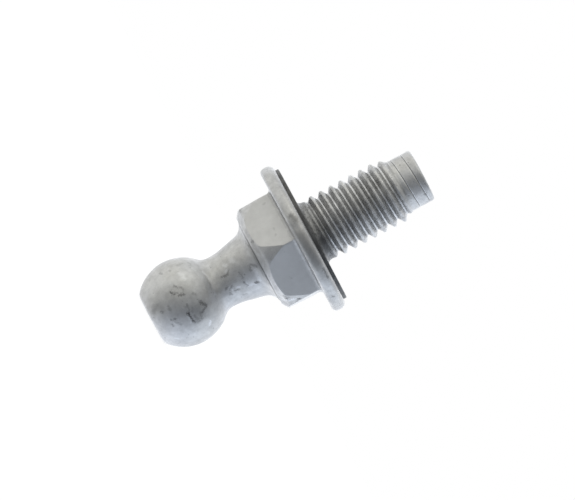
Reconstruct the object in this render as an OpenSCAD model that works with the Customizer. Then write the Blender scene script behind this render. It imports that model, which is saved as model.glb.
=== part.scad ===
// Threaded ball stud: a ball with a flat end, a waisted neck, a hexagon, a round flange,
// a raised bearing face and a right-hand threaded shank with a plain pilot.
// One solid piece on the Z axis, standing on the flat of its ball, the thread upwards.
// Lengths in millimetres, angles in degrees.

/* [Ball] */
// Diameter of the ball that the socket snaps over
ball_diameter = 8; // [7.6:0.1:8.4]
// Distance from the ball's centre to the flat that cuts its free end
ball_flat_distance = 3.2; // [2.8:0.1:3.5]
// Radius that breaks the edge between the ball and its flat
ball_edge_radius = 0.8; // [0.2:0.05:1]

/* [Neck] */
// Diameter of the neck at its narrowest place, close behind the ball
neck_diameter = 4.9; // [4.5:0.1:5.2]
// Hollow radius that blends the ball into the neck
ball_blend_radius = 1; // [0.6:0.1:1.2]
// Length of the plain narrow part between the blend and the widening
neck_land = 0.15; // [0.05:0.05:0.4]
// Radius of the long hollow curve by which the neck starts to widen
neck_curve_radius = 6; // [4:0.5:8]
// Half angle of the cone that the curve runs into
neck_taper_angle = 13; // [9:0.5:15]
// Hollow radius that blends the cone into the end of the hexagon
hexagon_blend_radius = 1.3; // [0.8:0.1:1.4]

/* [Hexagon] */
// Distance from the ball's centre to the end of the hexagon
hexagon_reach = 7.7; // [7.3:0.05:8.2]
// Width of the hexagon over two opposite flats
hexagon_across_flats = 9.7; // [9.5:0.05:10]
// Height of the hexagon, from its end to the flange
hexagon_height = 3.75; // [3:0.05:5]
// Half angle of the blunt cone that chamfers the end all round
end_chamfer_angle = 52.5; // [45:0.5:60]
// Diameter at which that cone meets the end of the hexagon
end_chamfer_diameter = 8.68; // [8.64:0.02:9]
// Radius of the edge between that cone and the end of the hexagon
end_edge_radius = 0.1; // [0.05:0.05:0.15]
// Half angle of the slim cone that cuts back the six corners
corner_cone_angle = 12.5; // [8:0.5:20]
// Diameter at which the slim cone would meet the end of the hexagon
corner_cone_diameter = 10.02; // [9.8:0.02:10.4]
// Turn of the hexagon about the axis
hexagon_turn = 30; // [0:1:59]

/* [Flange] */
// Diameter of the flange
flange_diameter = 14.3; // [13.6:0.05:16]
// Thickness of the flange
flange_thickness = 1.3; // [1.15:0.05:2]
// Radius of the flange's rim on the side of the hexagon
rim_radius_hexagon_side = 0.45; // [0.1:0.05:0.5]
// Radius of the flange's rim on the side of the thread
rim_radius_thread_side = 0.6; // [0.1:0.05:0.6]
// Diameter of the raised bearing face under the flange
seat_diameter = 13; // [11:0.1:13]
// Height of the raised bearing face
seat_height = 0.33; // [0.2:0.01:0.5]

/* [Thread] */
// Outside diameter of the thread
thread_diameter = 6; // [5.8:0.05:6.2]
// Pitch of the right-hand thread
thread_pitch = 1; // [0.75:0.25:1]
// Length from the bearing face to the pilot
thread_reach = 8.9; // [7:0.1:16]
// Diameter of the plain blank between the bearing face and the first crest
blank_diameter = 5.7; // [5.2:0.05:5.8]
// Radius of the hollow between the bearing face and the blank
shank_blend_radius = 0.45; // [0.2:0.05:0.5]
// Length of the blank before the first groove
blank_length = 0.5; // [0.5:0.05:0.9]
// Length over which the grooves reach their full depth, at either end
run_out_length = 0.9; // [0.4:0.1:1.2]
// Turn of the thread about the axis
thread_turn = 245; // [0:5:359]

/* [Pilot] */
// Diameter of the plain pilot at the tip
pilot_diameter = 4.95; // [4.6:0.05:5.05]
// Length of the pilot
pilot_length = 2.2; // [1:0.1:4]
// Radius of the edge at the tip
pilot_edge_radius = 0.25; // [0.1:0.05:0.4]

/* [Hidden] */
$fn = 96;

// Groove section: shares of the pitch along the axis, each with its share of the full depth
groove_shares = [[0, 0], [0.07, 0.04], [0.36, 0.87], [0.5, 1], [0.64, 0.87], [0.93, 0.04]];
// Depth of the full groove as a share of the pitch
groove_depth_share = 0.52;
// Share of a rounding's radius by which its centre stands off a face that it has to cross
inset_share = 0.995;
// Flat sides in one turn of the thread
thread_sides = 40;
// Share of a pitch under which two rows of points would count as one
row_gap_share = 0.02;
// Share of the blank's radius that lies safely within the many-sided thread
core_share = 0.98;
// Share of a pitch by which the blank and the pilot are sunk into the ends of the thread
sink_share = 0.03;
// Share of the pilot's radius at which the last groove ends
shoulder_share = 1.02;

ball_radius = ball_diameter / 2;
neck_radius = neck_diameter / 2;
ball_z = ball_flat_distance;
hexagon_z = ball_z + hexagon_reach;
flange_z = hexagon_z + hexagon_height;
seat_z = flange_z + flange_thickness;
shank_z = seat_z + seat_height;
thread_z = shank_z + blank_length;
pilot_z = shank_z + thread_reach;
tip_z = pilot_z + pilot_length;

// Point at a distance from a centre, in a direction measured from the radial line.
function polar(centre, distance, angle) =
    centre + distance * [cos(angle), sin(angle)];

// Height over its own centre at which a circle of one radius stands off the axis by another.
function rise(radius, offset) = sqrt(radius * radius - offset * offset);

// Value kept between two bounds.
function kept(value, low, high) = max(low, min(high, value));

// Value that slides from a first to a second one as the share grows from nought to one.
function between(first, second, share) = first + (second - first) * share;

// Half section with one of its lower edges rounded about a centre, from the level face below it
// round to the face whose normal has the given angle.
module rounded_edge(centre, radius, angle) {
    far = polar(centre, 2 * radius, angle);
    sector = [centre, [centre.x, far.y], far];
    difference() {
        children();
        polygon(sector);
    }
    intersection() {
        children();
        translate(centre)
            circle(radius);
        polygon(sector);
    }
}

// Ball with its edge rounded, as a half section.
module ball_section() {
    inset = ball_edge_radius * inset_share;
    edge = [rise(ball_radius - inset, ball_flat_distance - inset), inset];
    rounded_edge(edge, ball_edge_radius, atan2(edge.y - ball_z, edge.x))
        intersection() {
            translate([0, ball_z])
                circle(ball_radius);
            square([ball_radius, ball_z + ball_radius]);
        }
}

// Neck between the ball and the hexagon, as a half section with three hollow curves.
module neck_section() {
    blend_x = neck_radius + ball_blend_radius;
    blend_z = ball_z + rise(ball_radius + ball_blend_radius, blend_x);
    blend_angle = atan2(blend_z - ball_z, blend_x);
    curve = [neck_radius + neck_curve_radius, blend_z + neck_land];
    cone_start = polar(curve, neck_curve_radius, 180 - neck_taper_angle);
    slope = tan(neck_taper_angle);
    fillet_z = hexagon_z - hexagon_blend_radius * inset_share;
    fillet_x = cone_start.x + (fillet_z - cone_start.y) * slope
        + hexagon_blend_radius / cos(neck_taper_angle);
    fillet = [fillet_x, fillet_z];
    difference() {
        polygon([
            [0, ball_z],
            polar([0, ball_z], ball_radius, blend_angle),
            [neck_radius, blend_z],
            [neck_radius, curve.y],
            cone_start,
            polar(fillet, hexagon_blend_radius, 180 - neck_taper_angle),
            [fillet_x, hexagon_z],
            [0, hexagon_z + hexagon_blend_radius]
        ]);
        translate([blend_x, blend_z])
            circle(ball_blend_radius);
        intersection() {
            translate(curve)
                circle(neck_curve_radius);
            square([curve.x, fillet_z]);
        }
        translate(fillet)
            circle(hexagon_blend_radius);
    }
}

// Half section inside which the hexagon is kept: a blunt cone at its end, then a slim one.
module hexagon_section(height) {
    blunt = tan(end_chamfer_angle);
    slim = tan(corner_cone_angle);
    start = end_chamfer_diameter / 2;
    slim_start = corner_cone_diameter / 2;
    meet = (slim_start - start) / (blunt - slim);
    inset = end_edge_radius * inset_share;
    edge_x = start + inset * (blunt - 1 / cos(end_chamfer_angle));
    rounded_edge([edge_x, inset], end_edge_radius, -end_chamfer_angle)
        polygon([
            [0, 0],
            [start, 0],
            [start + meet * blunt, meet],
            [slim_start + height * slim, height],
            [0, height]
        ]);
}

// Hexagon with its end chamfered and its corners cut back; its foot is sunk into the flange.
module hexagon() {
    height = hexagon_height + flange_thickness / 2;
    intersection() {
        rotate([0, 0, hexagon_turn])
            linear_extrude(height = height)
                circle(r = hexagon_across_flats / 2 / cos(30), $fn = 6);
        rotate_extrude()
            hexagon_section(height);
    }
}

// Round flange with a rounded rim, as a half section.
module flange_section() {
    radius = flange_diameter / 2;
    low = rim_radius_hexagon_side;
    high = rim_radius_thread_side;
    difference() {
        square([radius, flange_thickness]);
        translate([radius - low, 0])
            square(low);
        translate([radius - high, flange_thickness - high])
            square(high);
    }
    translate([radius - low, low])
        rounded_quarter(low, -1);
    translate([radius - high, flange_thickness - high])
        rounded_quarter(high, 1);
}

// Quarter of a disc towards the rim, above its centre for side 1, below it for side -1.
module rounded_quarter(radius, side) {
    intersection() {
        circle(radius);
        translate([0, min(0, side) * radius])
            square(radius);
    }
}

// Raised bearing face, the hollow behind it and the blank up to the thread, as a half section.
module seat_section() {
    core = blank_diameter / 2 * core_share;
    blend = shank_blend_radius;
    root = flange_thickness / 2;
    translate([0, -root])
        square([seat_diameter / 2, root + seat_height]);
    translate([0, seat_height])
        difference() {
            union() {
                square([core, blank_length + sink_share * thread_pitch]);
                square([core + blend, blend]);
            }
            translate([core + blend, blend])
                circle(blend);
        }
}

// Radius of the thread's surface for a share of the pitch and a height.
function thread_radius(depth_share, z) =
    let (
        full = thread_diameter / 2 - depth_share * groove_depth_share * thread_pitch,
        end = pilot_diameter / 2 * shoulder_share,
        starting = kept((z - thread_z) / run_out_length, 0, 1),
        ending = kept((pilot_z - z) / run_out_length, 0, 1)
    )
    between(end, between(blank_diameter / 2, full, starting), ending);

// Height that snaps to either end of the thread where it comes near to it.
function snapped(z) =
    let (gap = row_gap_share * thread_pitch)
    z < thread_z + gap ? thread_z : z > pilot_z - gap ? pilot_z : z;

// Right-hand thread: rows of points run along the helix, so each crest is a true edge line.
module thread() {
    rows = len(groove_shares);
    turns = ceil((pilot_z - thread_z) / thread_pitch) + 2;
    last = rows * turns;
    points = [
        for (side = [0:thread_sides - 1])
            for (row = [0:last])
                let (
                    angle = side * 360 / thread_sides,
                    shares = groove_shares[row % rows],
                    turn = floor(row / rows) - 1 + shares[0] + side / thread_sides,
                    z = snapped(thread_z + turn * thread_pitch),
                    radius = thread_radius(shares[1], z)
                )
                [radius * cos(angle), radius * sin(angle), z]
    ];
    spot = function (side, row)
        side < thread_sides ? side * (last + 1) + row : min(row + rows, last);
    walls = [
        for (side = [0:thread_sides - 1])
            for (row = [0:last - 1])
                for (face = [
                    [spot(side, row), spot(side + 1, row + 1), spot(side + 1, row)],
                    [spot(side, row), spot(side, row + 1), spot(side + 1, row + 1)]
                ])
                    if (points[face[0]] != points[face[1]]
                        && points[face[1]] != points[face[2]]
                        && points[face[2]] != points[face[0]])
                        face
    ];
    low_cap = [for (side = [0:thread_sides - 1]) spot(side, 0)];
    high_cap = [for (side = [thread_sides - 1:-1:0]) spot(side, last)];
    polyhedron(points = points, faces = concat(walls, [low_cap, high_cap]), convexity = 10);
}

// Plain pilot with a rounded tip edge, as a half section that starts inside the thread.
module pilot_section() {
    radius = pilot_diameter / 2;
    root = sink_share * thread_pitch;
    length = root + pilot_length;
    translate([0, -root])
        square([radius, length - pilot_edge_radius]);
    translate([0, -root])
        square([radius - pilot_edge_radius, length]);
    translate([radius - pilot_edge_radius, pilot_length - pilot_edge_radius])
        rounded_quarter(pilot_edge_radius, 1);
}

// Ball, neck, hexagon and flange.
module head() {
    color([0.68, 0.69, 0.70])
        rotate_extrude()
            union() {
                ball_section();
                neck_section();
            }
    color([0.64, 0.65, 0.67])
        translate([0, 0, hexagon_z])
            hexagon();
    color([0.70, 0.71, 0.72])
        translate([0, 0, flange_z])
            rotate_extrude()
                flange_section();
}

// Bearing face, thread and pilot.
module shank() {
    color([0.34, 0.34, 0.35])
        translate([0, 0, seat_z])
            rotate_extrude()
                seat_section();
    color([0.58, 0.59, 0.60])
        rotate([0, 0, thread_turn])
            thread();
    color([0.66, 0.67, 0.68])
        translate([0, 0, pilot_z])
            rotate_extrude()
                pilot_section();
}

// Whole stud, forged and rolled from one blank.
module ball_stud() {
    union() {
        head();
        shank();
    }
}

ball_stud();
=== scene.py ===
"""Looks of a threaded ball stud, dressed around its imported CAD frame.

The stud stands on the flat of its ball, its thread upwards. One closed mesh takes the place of the
CAD solid. It follows the solid's sizes, but for a softer hollow behind the ball and quicker grooves
at the flange, and adds finely rounded edges and the coated finish. Meshes are worked in millimetres
and turned into metres when they are finished.
"""

import logging
import math
from collections.abc import Callable
from dataclasses import dataclass, field
from enum import IntEnum

import bmesh
import bpy
from mathutils import Matrix, Vector, noise


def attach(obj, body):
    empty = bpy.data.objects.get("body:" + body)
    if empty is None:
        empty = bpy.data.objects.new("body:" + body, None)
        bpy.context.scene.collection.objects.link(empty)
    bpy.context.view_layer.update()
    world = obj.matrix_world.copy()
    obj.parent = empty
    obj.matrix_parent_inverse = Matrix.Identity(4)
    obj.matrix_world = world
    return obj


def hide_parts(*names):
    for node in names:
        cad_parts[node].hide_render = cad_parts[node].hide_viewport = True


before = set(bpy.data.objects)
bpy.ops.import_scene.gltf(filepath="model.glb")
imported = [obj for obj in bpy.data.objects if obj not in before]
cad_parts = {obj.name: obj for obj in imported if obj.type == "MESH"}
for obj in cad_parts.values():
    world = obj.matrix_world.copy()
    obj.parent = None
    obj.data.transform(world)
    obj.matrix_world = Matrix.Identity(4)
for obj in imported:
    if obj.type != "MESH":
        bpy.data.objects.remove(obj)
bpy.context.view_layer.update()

LOG = logging.getLogger("ball_stud")

METRES = 0.001
TINY = 0.001
COLUMNS = 192
COLUMN_ANGLE = math.tau / COLUMNS
VIEW_TURN = 2.7

Point = tuple[float, float]
Place = Callable[[float], Point]
View = Callable[[float, float], Vector]


class Zone(IntEnum):
    """Finish of a face. The value is the place of its material on the stud."""

    BALL = 0
    HEAD = 1
    FACET = 2
    SEAT = 3
    THREAD = 4
    PILOT = 5


@dataclass(frozen=True)
class Ring:
    """One ring of points round the axis, from which the turned shapes are made."""

    place: Place
    zone: Zone
    # Shares of darkening, mostly painted shade, and of painted highlight on the ring.
    grime: float = 0.0
    sheen: float = 0.0


def polar(centre: Point, distance: float, degrees: float) -> Point:
    """Gives the point at a distance from a centre.

    Args:
        centre: Radius and height of the centre.
        distance: Distance from it.
        degrees: Direction, measured from the radial line.

    Returns:
        Radius and height of the point.
    """
    angle = math.radians(degrees)
    return centre[0] + distance * math.cos(angle), centre[1] + distance * math.sin(angle)


def arc(centre: Point, radius: float, start: float, end: float, steps: int) -> list[Point]:
    """Gives points along an arc of the half section, without its first one.

    Args:
        centre: Radius and height of the arc's centre.
        radius: Radius of the arc.
        start: Direction of its first point, in degrees.
        end: Direction of its last point, in degrees.
        steps: Number of points.

    Returns:
        The points in order.
    """
    return [polar(centre, radius, start + (end - start) * (i + 1) / steps) for i in range(steps)]


def line(start: Point, end: Point, steps: int) -> list[Point]:
    """Gives points along a straight line, without its first one.

    Args:
        start: First point.
        end: Last point.
        steps: Number of points.

    Returns:
        The points in order.
    """
    shares = [(i + 1) / steps for i in range(steps)]
    return [(start[0] + (end[0] - start[0]) * s, start[1] + (end[1] - start[1]) * s) for s in shares]


def plain(points: list[Point], zone: Zone, grime: float = 0.0, sheen: float = 0.0) -> list[Ring]:
    """Turns points of the half section into round rings.

    Args:
        points: Radius and height of each ring.
        zone: Finish of the faces that end at these rings.
        grime: Share of darkening there, mostly painted shade in hollows and creases.
        sheen: Share of painted highlight there.

    Returns:
        One ring for each point.
    """
    return [Ring(lambda _angle, p=p: p, zone, grime, sheen) for p in points]


def smooth_step(value: float, low: float, high: float) -> float:
    """Slides from 0 at the low bound to 1 at the high one.

    Args:
        value: Value to place between the bounds.
        low: Bound that gives 0.
        high: Bound that gives 1.

    Returns:
        The smoothed share.
    """
    share = max(0.0, min(1.0, (value - low) / (high - low)))
    return share * share * (3 - 2 * share)


def column_angle(point: Vector) -> float:
    """Gives the direction about the axis of the column of points that a point belongs to."""
    return round(math.atan2(point.y, point.x) / COLUMN_ANGLE) * COLUMN_ANGLE


def view_axes() -> tuple[Vector, Vector]:
    """Gives the level directions of the picture.

    Returns:
        Direction across the stud, towards the picture's lower side, and direction to the viewer.
    """
    turn = math.radians(VIEW_TURN)
    return Vector((math.cos(turn), math.sin(turn), 0)), Vector((math.sin(turn), -math.cos(turn), 0))


def as_mesh(mesh: bmesh.types.BMesh, name: str) -> bpy.types.Mesh:
    """Turns a worked mesh into a stored one, and frees it.

    Args:
        mesh: Mesh that is finished.
        name: Name of the stored mesh.

    Returns:
        The stored mesh.
    """
    data = bpy.data.meshes.new(name)
    mesh.to_mesh(data)
    mesh.free()
    return data


def as_object(data: bpy.types.Mesh) -> bpy.types.Object:
    """Puts a stored mesh in the scene.

    Args:
        data: Stored mesh.

    Returns:
        The object, at the origin and with the mesh's name.
    """
    thing = bpy.data.objects.new(data.name, data)
    bpy.context.scene.collection.objects.link(thing)
    return thing


class Section:
    """Half section that is spun about the axis and then pressed into shape row by row."""

    def __init__(self, points: list[Point]) -> None:
        """Draws the section.

        Args:
            points: Radius and height of each row.
        """
        self.mesh = bmesh.new()
        # Vertex layers: darkening, mostly painted shade, and painted highlight.
        self.grime = self.mesh.verts.layers.float.new("grime")
        self.sheen = self.mesh.verts.layers.float.new("sheen")
        self.row = self.mesh.verts.layers.int.new("row")
        verts = []
        for i, (radius, height) in enumerate(points):
            vert = self.mesh.verts.new((radius, 0, height))
            vert[self.row] = i
            verts.append(vert)
        self.line = verts + [self.mesh.edges.new(pair) for pair in zip(verts, verts[1:])]

    def spin(self, rise: float) -> None:
        """Spins the section once round.

        Args:
            rise: Height gained in the turn; without one, the turn is closed.
        """
        bmesh.ops.spin(
            self.mesh, geom=self.line, cent=(0, 0, 0), axis=(0, 0, 1), dvec=(0, 0, rise / COLUMNS),
            angle=math.tau, steps=COLUMNS, use_merge=not rise,
        )

    def press(self, vert: bmesh.types.BMVert, radius: float, height: float, painted_shares: Point) -> None:
        """Moves a vertex within its column and gives it its shares of painted shade and painted highlight.

        Args:
            vert: Vertex to move.
            radius: New distance from the axis.
            height: New height.
            painted_shares: Shares of darkening, mostly painted shade, and of painted highlight.
        """
        angle = column_angle(vert.co)
        vert.co = (radius * math.cos(angle), radius * math.sin(angle), height)
        vert[self.grime], vert[self.sheen] = painted_shares


@dataclass
class Ball:
    """Ball that the socket snaps over, cut by a flat at its free end."""

    radius: float = 4.0
    flat_distance: float = 3.2
    edge_radius: float = 0.8

    @property
    def centre(self) -> Point:
        """Radius and height of the ball's centre."""
        return 0.0, self.flat_distance

    def rings(self, end_angle: float) -> list[Ring]:
        """Makes the rings from the middle of the flat to the neck.

        Args:
            end_angle: Direction in degrees, seen from the centre, at which the neck's blend starts.

        Returns:
            The rings in order.
        """
        inset = self.flat_distance - self.edge_radius
        edge = math.sqrt((self.radius - self.edge_radius) ** 2 - inset**2), self.edge_radius
        turn = math.degrees(math.atan2(edge[1] - self.flat_distance, edge[0]))
        points = [(0.0, 0.0)]
        points += line((0.0, 0.0), (edge[0], 0.0), 8)
        points += arc(edge, self.edge_radius, -90, turn, 8)
        points += arc(self.centre, self.radius, turn, end_angle, 44)
        return plain(points, Zone.BALL)


@dataclass
class Neck:
    """Waisted neck between the ball and the hexagon."""

    radius: float = 2.45
    blend_radius: float = 1.4
    land: float = 0.02
    curve_radius: float = 6.0
    taper: float = 13.0
    fillet_radius: float = 1.3
    fillet_share: float = 0.995
    shaded_rings: int = 4
    end_shade: float = 1.0

    def blend(self, ball: Ball) -> Point:
        """Gives the centre of the hollow that blends the ball into the neck.

        Args:
            ball: Ball that the neck grows out of.

        Returns:
            Radius and height of the centre.
        """
        offset = self.radius + self.blend_radius
        rise = math.sqrt((ball.radius + self.blend_radius) ** 2 - offset**2)
        return offset, ball.flat_distance + rise

    def blend_angle(self, ball: Ball) -> float:
        """Gives the direction from the ball's centre to the blend's centre, in degrees."""
        offset, height = self.blend(ball)
        return math.degrees(math.atan2(height - ball.flat_distance, offset))

    def rings(self, ball: Ball, end_height: float) -> list[Ring]:
        """Makes the rings from the ball to the end of the hexagon.

        Args:
            ball: Ball that the neck grows out of.
            end_height: Height of the hexagon's end.

        Returns:
            The rings in order.
        """
        blend = self.blend(ball)
        curve = self.radius + self.curve_radius, blend[1] + self.land
        cone = polar(curve, self.curve_radius, 180 - self.taper)
        fillet_height = end_height - self.fillet_radius * self.fillet_share
        slope = math.tan(math.radians(self.taper))
        fillet_offset = self.fillet_radius / math.cos(math.radians(self.taper))
        fillet = cone[0] + (fillet_height - cone[1]) * slope + fillet_offset, fillet_height
        start = self.blend_angle(ball) + 180
        points = arc(blend, self.blend_radius, start, 180, 8)
        points += line((self.radius, blend[1]), (self.radius, curve[1]), 1)
        points += arc(curve, self.curve_radius, 180, 180 - self.taper, 10)
        points += line(cone, polar(fillet, self.fillet_radius, 180 - self.taper), 5)
        last = 180 - math.degrees(math.asin(self.fillet_share))
        points += arc(fillet, self.fillet_radius, 180 - self.taper, last, 14)
        # The last rings, in the hollow against the hexagon's end, are darkened with painted shade.
        unshaded, shaded = points[:-self.shaded_rings], points[-self.shaded_rings:]
        return plain(unshaded, Zone.HEAD) + plain(shaded, Zone.HEAD, self.end_shade)


@dataclass
class Hexagon:
    """Hexagon with a blunt chamfer at its end and its corners cut back by a slim cone."""

    end_height: float = 10.9
    height: float = 3.75
    across_flats: float = 9.7
    chamfer_angle: float = 52.5
    chamfer_radius: float = 4.34
    edge_radius: float = 0.1
    cone_angle: float = 12.5
    cone_radius: float = 5.01
    cone_blend: float = 0.025
    foot_radius: float = 0.36
    cone_shares: tuple[float, ...] = (0.06, 0.12, 0.16, 0.2, 0.24, 0.28, 0.34, 0.45, 0.7, 1.0)
    facet_shares: tuple[float, ...] = (0.05, 0.12, 0.35, 0.65, 0.9, 0.97, 1.0)
    foot_rings: int = 6
    foot_shade: float = 0.25
    edge_highlight: float = 0.8
    highlight_fade: Point = (0.14, 0.3)

    @property
    def top_height(self) -> float:
        """Height at which the hexagon meets the flange."""
        return self.end_height + self.height

    def flat_radius(self, angle: float) -> float:
        """Gives the distance from the axis to the hexagon's side.

        Args:
            angle: Direction about the axis; a corner lies at -90 degrees and at each 60 degrees on.

        Returns:
            Distance in that direction.
        """
        sixth = math.tau / 6
        off_middle = (angle + sixth / 2) % sixth - sixth / 2
        return self.across_flats / 2 / math.cos(off_middle)

    def round_radius(self, rise: float) -> float:
        """Gives the radius of the round end: a chamfer that blends into the slim cone.

        Args:
            rise: Height above the hexagon's end.

        Returns:
            Distance from the axis.
        """
        blunt = self.chamfer_radius + rise * math.tan(math.radians(self.chamfer_angle))
        slim = self.cone_radius + rise * math.tan(math.radians(self.cone_angle))
        low, gap = min(blunt, slim), abs(blunt - slim)
        return low - self.cone_blend * math.log(1 + math.exp(-gap / self.cone_blend))

    def bow_height(self, angle: float) -> float:
        """Gives the height above the hexagon's end at which the round end meets the side.

        Args:
            angle: Direction about the axis.

        Returns:
            Height found by halving the range in which it lies.
        """
        radius = self.flat_radius(angle)
        low, high = 0.0, self.height
        for _ in range(30):
            middle = (low + high) / 2
            if self.round_radius(middle) < radius:
                low = middle
            else:
                high = middle
        return low

    def edge_points(self) -> list[Point]:
        """Gives the rounded edge between the end face and the chamfer.

        Returns:
            Radius and height of each point.
        """
        angle = math.radians(self.chamfer_angle)
        offset = self.edge_radius * (math.tan(angle) - 1 / math.cos(angle))
        centre = self.chamfer_radius + offset, self.end_height + self.edge_radius
        first = centre[0], self.end_height
        return [first] + arc(centre, self.edge_radius, -90, -self.chamfer_angle, 4)

    def on_end(self, share: float) -> Place:
        """Makes the rule for a ring on the round end.

        Args:
            share: Place of the ring between the rounded edge, at 0, and the bow, at 1.

        Returns:
            Rule that gives radius and height for an angle.
        """
        start = self.edge_points()[-1][1] - self.end_height

        def place(angle: float) -> Point:
            """Follows the chamfer and the cone up to the bow."""
            rise = start + (self.bow_height(angle) - start) * share
            return self.round_radius(rise), self.end_height + rise

        return place

    def on_facet(self, share: float) -> Place:
        """Makes the rule for a ring on the flat sides.

        Args:
            share: Place of the ring between the bow, at 0, and the hollow at the foot, at 1.

        Returns:
            Rule that gives radius and height for an angle.
        """
        foot = self.height - self.foot_radius

        def place(angle: float) -> Point:
            """Follows the flat side from the bow to the foot."""
            bow = self.bow_height(angle)
            return self.flat_radius(angle), self.end_height + (bow + (foot - bow) * share)

        return place

    def on_foot(self, share: float) -> Place:
        """Makes the rule for a ring in the hollow between the flat sides and the flange.

        Args:
            share: Place of the ring, 0 on the side and 1 on the flange.

        Returns:
            Rule that gives radius and height for an angle.
        """
        turn = share * math.pi / 2
        out = self.foot_radius * (1 - math.cos(turn))
        up = self.foot_radius * math.sin(turn)

        def place(angle: float) -> Point:
            """Follows the hollow from the side out to the flange."""
            return self.flat_radius(angle) + out, self.top_height - self.foot_radius + up

        return place

    def rings(self) -> list[Ring]:
        """Makes the rings from the neck's end to the flange.

        Returns:
            The rings in order.
        """
        # Painted highlight on the rounded end edge and the chamfer strip, fading out up the slim cone.
        rings = plain(self.edge_points(), Zone.HEAD, sheen=self.edge_highlight)
        for share in self.cone_shares:
            rings.append(Ring(self.on_end(share), Zone.HEAD, sheen=1 - smooth_step(share, *self.highlight_fade)))
        for share in self.facet_shares:
            rings.append(Ring(self.on_facet(share), Zone.FACET))
        # Painted shade in the hollow at the foot, where the sides meet the flange.
        for i in range(1, self.foot_rings + 1):
            rings.append(Ring(self.on_foot(i / self.foot_rings), Zone.HEAD, self.foot_shade))
        return rings


@dataclass
class Flange:
    """Round flange between the hexagon and the thread, with the raised bearing face under it."""

    radius: float = 7.15
    thickness: float = 1.3
    rim_hexagon_side: float = 0.45
    rim_thread_side: float = 0.6
    seat_radius: float = 6.5
    seat_height: float = 0.33
    seat_edge: float = 0.08
    face_rings: int = 6
    rim_darkening: float = 0.12
    shaded_rows: int = 7
    seat_shade: float = 0.5

    def rings(self, hexagon: Hexagon) -> list[Ring]:
        """Makes the rings over the flange, its rim and the bearing face.

        Args:
            hexagon: Hexagon that stands on the flange.

        Returns:
            The rings in order, up to the inner part of the bearing face.
        """
        base = hexagon.top_height
        low, high = self.rim_hexagon_side, self.rim_thread_side
        face_end = self.radius - low
        rings = []
        for i in range(1, self.face_rings + 1):
            rings.append(Ring(self.on_face(hexagon, face_end, i / self.face_rings), Zone.HEAD))
        under = base + self.thickness
        points = arc((face_end, base + low), low, -90, 0, 6)
        points += line((self.radius, base + low), (self.radius, under - high), 2)
        points += arc((self.radius - high, under - high), high, 0, 90, 9)
        # The rim is slightly darkened; the rows of its rounding towards the thread get twice as much, which
        # is painted shade against their bright reflection, and the last row none.
        rings += plain(points[:-self.shaded_rows], Zone.HEAD, self.rim_darkening)
        rings += plain(points[-self.shaded_rows:-1], Zone.HEAD, 2 * self.rim_darkening)
        rings += plain(points[-1:], Zone.HEAD)
        seat = self.seat_radius
        top = under + self.seat_height
        points = [(seat, under)]
        points += line((seat, under), (seat, top - self.seat_edge), 3)
        points += arc((seat - self.seat_edge, top - self.seat_edge), self.seat_edge, 0, 90, 3)
        # The bearing face under the flange is darkened with painted shade.
        rings += plain(points, Zone.SEAT, self.seat_shade)
        return rings

    def on_face(self, hexagon: Hexagon, face_end: float, share: float) -> Place:
        """Makes the rule for a ring on the flange's face round the hexagon.

        Args:
            hexagon: Hexagon that stands on the face.
            face_end: Radius at which the rim's rounding starts.
            share: Place of the ring, 0 at the hexagon's foot and 1 at the rim.

        Returns:
            Rule that gives radius and height for an angle.
        """

        def place(angle: float) -> Point:
            """Fans out from the six-sided foot to the round rim."""
            foot = hexagon.flat_radius(angle) + hexagon.foot_radius
            return foot + (face_end - foot) * share, hexagon.top_height

        return place


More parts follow.
